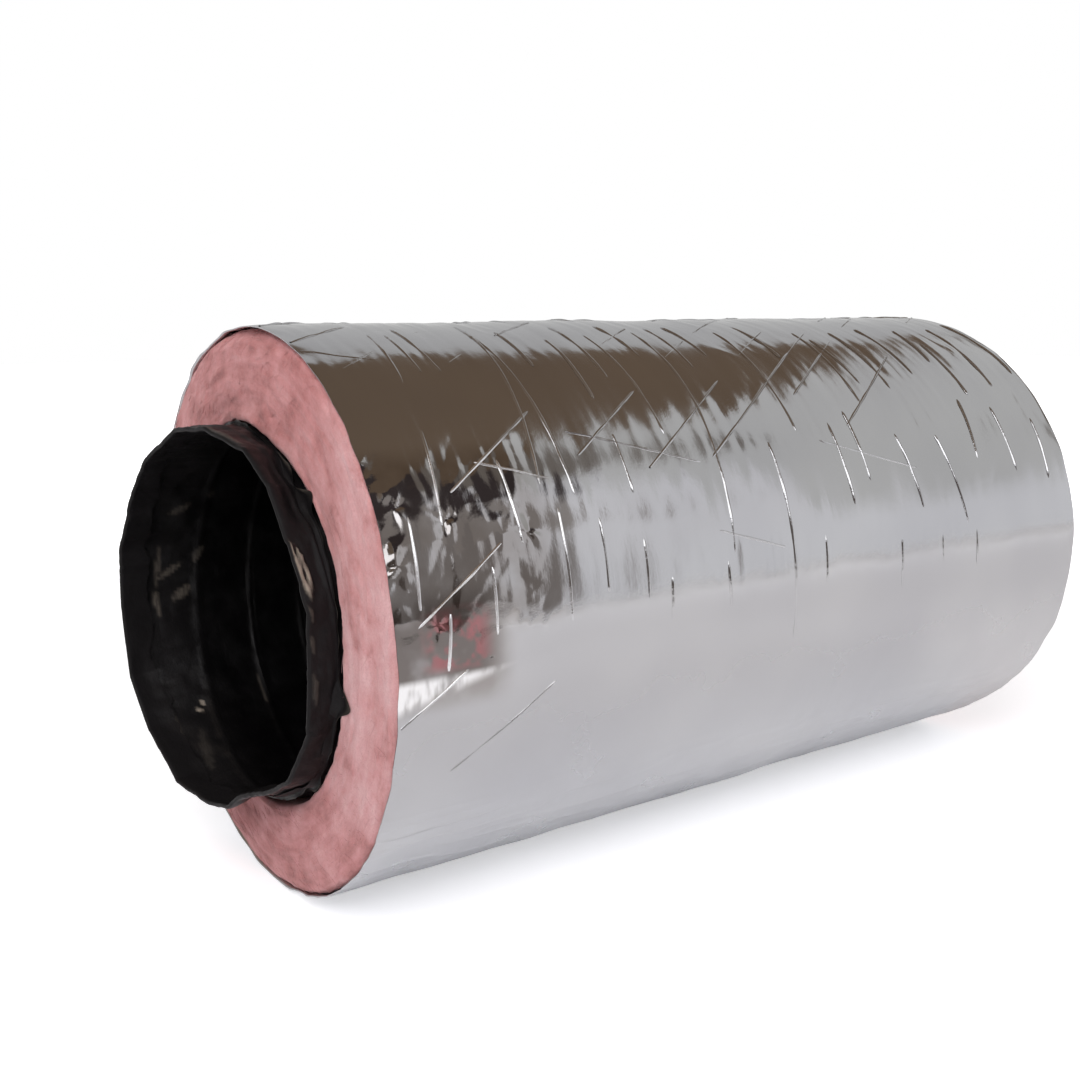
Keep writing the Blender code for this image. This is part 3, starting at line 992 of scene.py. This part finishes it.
def film_material(name, base, rough, gloss):
    mat = Material(name)
    rest = mat.attribute("rest", "Vector")
    colour = mat.ramp(mat.noise(rest, scale=45.0, detail=4.0),
                      [(0.35, tuple(0.7 * c for c in base)), (0.65, tuple(1.45 * c for c in base))])
    dust = mat.noise(rest, scale=300.0, detail=5.0, rough=0.7)
    colour = mat.mix(mat.span(dust, start=0.62, end=0.8, high=0.10), colour, (0.05, 0.045, 0.044))
    # painted light: paler towards the open end, where light reaches in
    x = mat.split(rest)[0]
    colour = mat.mix(mat.span(x, start=0.012, end=-0.022, high=0.75), colour,
                     (0.0115, 0.0106, 0.0112))
    # painted glints where the film is creased, and the cuff's paler torn edge
    streak = mat.noise(mat.scaled(rest, (3.0, 1.0, 0.6)), scale=260.0, detail=3.0)
    glints_and_pale_edge = mat.times(mat.attribute("glints_and_pale_edge", "Fac"),
                     mat.span(streak, start=0.30, end=0.62, low=0.25, high=0.5))
    colour = mat.mix(mat.maths("MINIMUM", glints_and_pale_edge, 1.0), colour, (0.26, 0.222, 0.185))
    shine = mat.noise(rest, scale=60.0, detail=3.0)
    waves = mat.noise(mat.scaled(rest, (2.2, 1.0, 1.0)), scale=60.0, detail=4.0, rough=0.55)
    crinkle = mat.noise(rest, scale=260.0, detail=4.0, rough=0.6)
    return mat.surface(
        Base_Color=colour, Specular_IOR_Level=gloss,
        Roughness=mat.span(shine, start=0.35, end=0.7, low=rough - 0.07, high=rough + 0.12),
        Normal=mat.bump(crinkle, strength=0.20, distance=0.0008,
                        below=mat.bump(waves, strength=0.35, distance=0.0012)))


def wire_material(name):
    mat = Material(name)
    rest = mat.attribute("rest", "Vector")
    return mat.surface(
        Base_Color=mat.ramp(mat.noise(rest, scale=120.0, detail=4.0),
                            [(0.35, (0.30, 0.29, 0.28)), (0.65, (0.52, 0.51, 0.50))]),
        Metallic=1.0,
        Roughness=mat.span(mat.noise(rest, scale=300.0), start=0.3, end=0.7, low=0.25, high=0.5),
        Normal=mat.bump(mat.noise(rest, scale=800.0, detail=4.0), strength=0.3, distance=0.0003))


FOIL_MAT = foil_material("metallised film")
THREAD_MAT = foil_material("metallised film over thread", thread=True)
BLANKET_MAT = blanket_material("glass wool")
FIBRE_MAT = blanket_material("glass strand", fibre=True)
FILM_MAT = film_material("black core film", base=(0.0066, 0.0058, 0.0064), rough=0.42, gloss=0.13)
LINER_MAT = film_material("black liner film", base=(0.0014, 0.0012, 0.0014), rough=0.38, gloss=0.30)
WIRE_MAT = wire_material("spring wire")

# ---------------------------------------------------------------- build
for k in range(1, LAST + 1):
    make_jacket(k)
    make_blanket(k)
    make_core(k, (k - 0.5) * SECTION if k > 1 else NECK[1], SEAMS[k], lambda obj: across(obj),
              end_trim=(0.6, 0.9, 3) if k == LAST else (0, 0, 0),
              more_wire=["wire_8"] if k == LAST else [])


def bend_neck(obj):
    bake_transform(obj)


def bend_end(obj):
    """Bakes the bare end's transform into its mesh."""
    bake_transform(obj)


make_core("neck", *NECK, bend_neck)
make_core("end", -CORE_OUT, NECK[0], bend_end, start_trim=(1.9, 2.5, 1), fold=13 * MM)
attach(make_cuff(), "core_neck")

across(make_fibres("loose_strands_near", far=False, count=1900, seed=71))
across(make_fibres("loose_strands_far", far=True, count=1500, seed=72))


# ---------------------------------------------------------------- stage
def floor_material():
    mat = Material("pale floor")
    colour = mat.ramp(mat.noise(mat.coordinates("Object"), scale=2.0),
                      [(0.3, (0.855, 0.865, 0.905)), (0.7, (0.875, 0.885, 0.925))])
    seen_by = mat.add("ShaderNodeLightPath").outputs
    away = mat.add("ShaderNodeVectorMath", {0: mat.coordinates("Object")},
                   operation="LENGTH").outputs["Value"]
    # it glows more to the camera further out; mirrored, it is bright near by and far off
    direct = mat.times(seen_by["Is Camera Ray"],
                       mat.span(away, start=0.5, end=1.6, low=0.42, high=1.1))
    glow = mat.maths("ADD", mat.span(away, start=0.35, end=0.8, low=0.085, high=0.015),
                     mat.span(away, start=1.5, end=3.5, high=0.34))
    mirrored = mat.times(seen_by["Is Glossy Ray"], glow)
    return mat.surface(Base_Color=colour, Roughness=0.9, Specular_IOR_Level=0.1,
                       Emission_Color=(1, 1, 1, 1),
                       Emission_Strength=mat.maths("ADD", direct, mirrored))


def make_floor():
    half, z = 6.0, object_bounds()[0].z - 0.0005
    mesh = bpy.data.meshes.new("floor")
    mesh.from_pydata([(-half, -half, z), (half, -half, z), (half, half, z), (-half, half, z)],
                     [], [(0, 1, 2, 3)])
    floor = to_scene("floor", mesh)
    mesh.materials.append(floor_material())


# dark and bright things in the mirrored room, each over the ones before: azimuth from and to,
# elevation from and to, colour, softness of the edges in azimuth and elevation (all degrees)
PANELS = [(30, 110, 14, 48, (0.55, 0.55, 0.55), 8, 8),
          (-178, -64, 45, 90, (0.22, 0.17, 0.13), 4, 4),
          (100, 178, 25, 90, (0.22, 0.17, 0.13), 6, 6),
          (-56, -18, -1, 9, (0.83, 0.83, 0.86), 8, 9),
          (-12, 24, 3, 22, (0.18, 0.155, 0.135), 6, 6),
          (-70, -56.5, 2, 47, (0.30, 0.275, 0.265), 5, 4),
          (-60, -48, 27, 39, (0.36, 0.33, 0.315), 3, 3),
          (-178, -72, -3, 19, (0.12, 0.10, 0.09), 3, 2),
          (-178, -75, 25, 41, (2.1, 2.1, 2.15), 3, 2),
          (-50, -30, 42, 56, (0.21, 0.185, 0.165), 5, 3),
          (-66, -44, 39, 56, (0.06, 0.048, 0.048), 4, 4)]


def make_world():
    """White to the camera; to everything else a room with pale walls and a grey ceiling."""
    world = bpy.data.worlds.new("studio")
    bpy.context.scene.world = world
    world.use_nodes = True
    world.node_tree.nodes.clear()
    nodes = Nodes(world.node_tree)
    x, y, z = nodes.split(nodes.coordinates("Generated"))
    azimuth = nodes.times(nodes.maths("ARCTAN2", y, x), 180 / math.pi)
    elevation = nodes.times(nodes.maths("ARCSINE", z), 180 / math.pi)

    def within(value, low, high, soft):
        return nodes.mask((value, low - soft, low), (value, high + soft, high))

    sky = nodes.mix(nodes.span(azimuth, start=-41.0, end=-36.5), (0.83, 0.825, 0.855),
                    (0.63, 0.63, 0.625))
    sky = nodes.mix(nodes.span(elevation, start=2.0, end=-2.0), sky, (0.84, 0.84, 0.87))
    for left, right, bottom, top, colour, soft_side, soft_top in PANELS:
        sky = nodes.mix(nodes.times(within(azimuth, left, right, soft_side),
                                    within(elevation, bottom, top, soft_top)), sky, colour)
    # a dark board overhead, on a plane at height 1, with one slanting edge
    lowest, slope, offset = 0.02, 1.5, 1.53
    depth = nodes.maths("MAXIMUM", z, lowest)
    plane_x, plane_y = nodes.maths("DIVIDE", x, depth), nodes.maths("DIVIDE", y, depth)
    edge = nodes.maths("SUBTRACT", plane_y,
                       nodes.maths("SUBTRACT", nodes.times(plane_x, slope), offset))
    board = nodes.mask((edge, -0.04, 0.05), (plane_y, 0.78, 0.72), (plane_y, -0.66, -0.60),
                       (plane_x, -0.4, -0.1), (z, 0.3, 0.4))
    sky = nodes.mix(board, sky, (0.168, 0.120, 0.084))
    room = nodes.add("ShaderNodeBackground", {"Color": sky})
    plain = nodes.add("ShaderNodeBackground", {"Color": (1, 1, 1, 1)})
    to_camera = nodes.add("ShaderNodeLightPath").outputs["Is Camera Ray"]
    pick = nodes.add("ShaderNodeMixShader",
                     {0: to_camera, 1: room.outputs[0], 2: plain.outputs[0]})
    nodes.add("ShaderNodeOutputWorld", {"Surface": pick.outputs[0]})


def place_facing(obj, place, direction):
    obj.location = place
    obj.rotation_mode = "QUATERNION"
    obj.rotation_quaternion = direction.to_track_quat("-Z", "Y")


def make_light(name, place, size, power, colour=(1, 1, 1)):
    """A disk light aimed at the duct, not seen in reflections."""
    light = bpy.data.lights.new(name, "AREA")
    light.shape = "DISK"
    light.size = size
    light.energy = power
    light.color = colour
    obj = to_scene(name, light)
    place_facing(obj, place, Vector((0, 0, 0.15)) - Vector(place))
    obj.visible_glossy = False


def make_camera():
    camera = bpy.data.cameras.new("camera")
    camera.lens, camera.sensor_width = 41.91, 36.0
    camera.clip_start, camera.clip_end = 0.02, 50
    obj = to_scene("camera", camera)
    place_facing(obj, (X0 - 263.1408 * MM, -635.4504 * MM, AXIS_Z + 169.6812 * MM),
                 Vector((0.56846, 0.80072, -0.18894)))
    bpy.context.scene.camera = obj


make_floor()
make_world()
make_light("key", place=(-1.6, -1.4, 2.0), size=1.6, power=42.0, colour=(1.0, 0.98, 0.96))
make_light("fill", place=(1.6, -1.8, 1.4), size=2.0, power=16.0)
make_light("back", place=(0.3, 2.2, 1.8), size=2.0, power=14.0)
make_camera()
bpy.context.scene.view_settings.view_transform = "Standard"
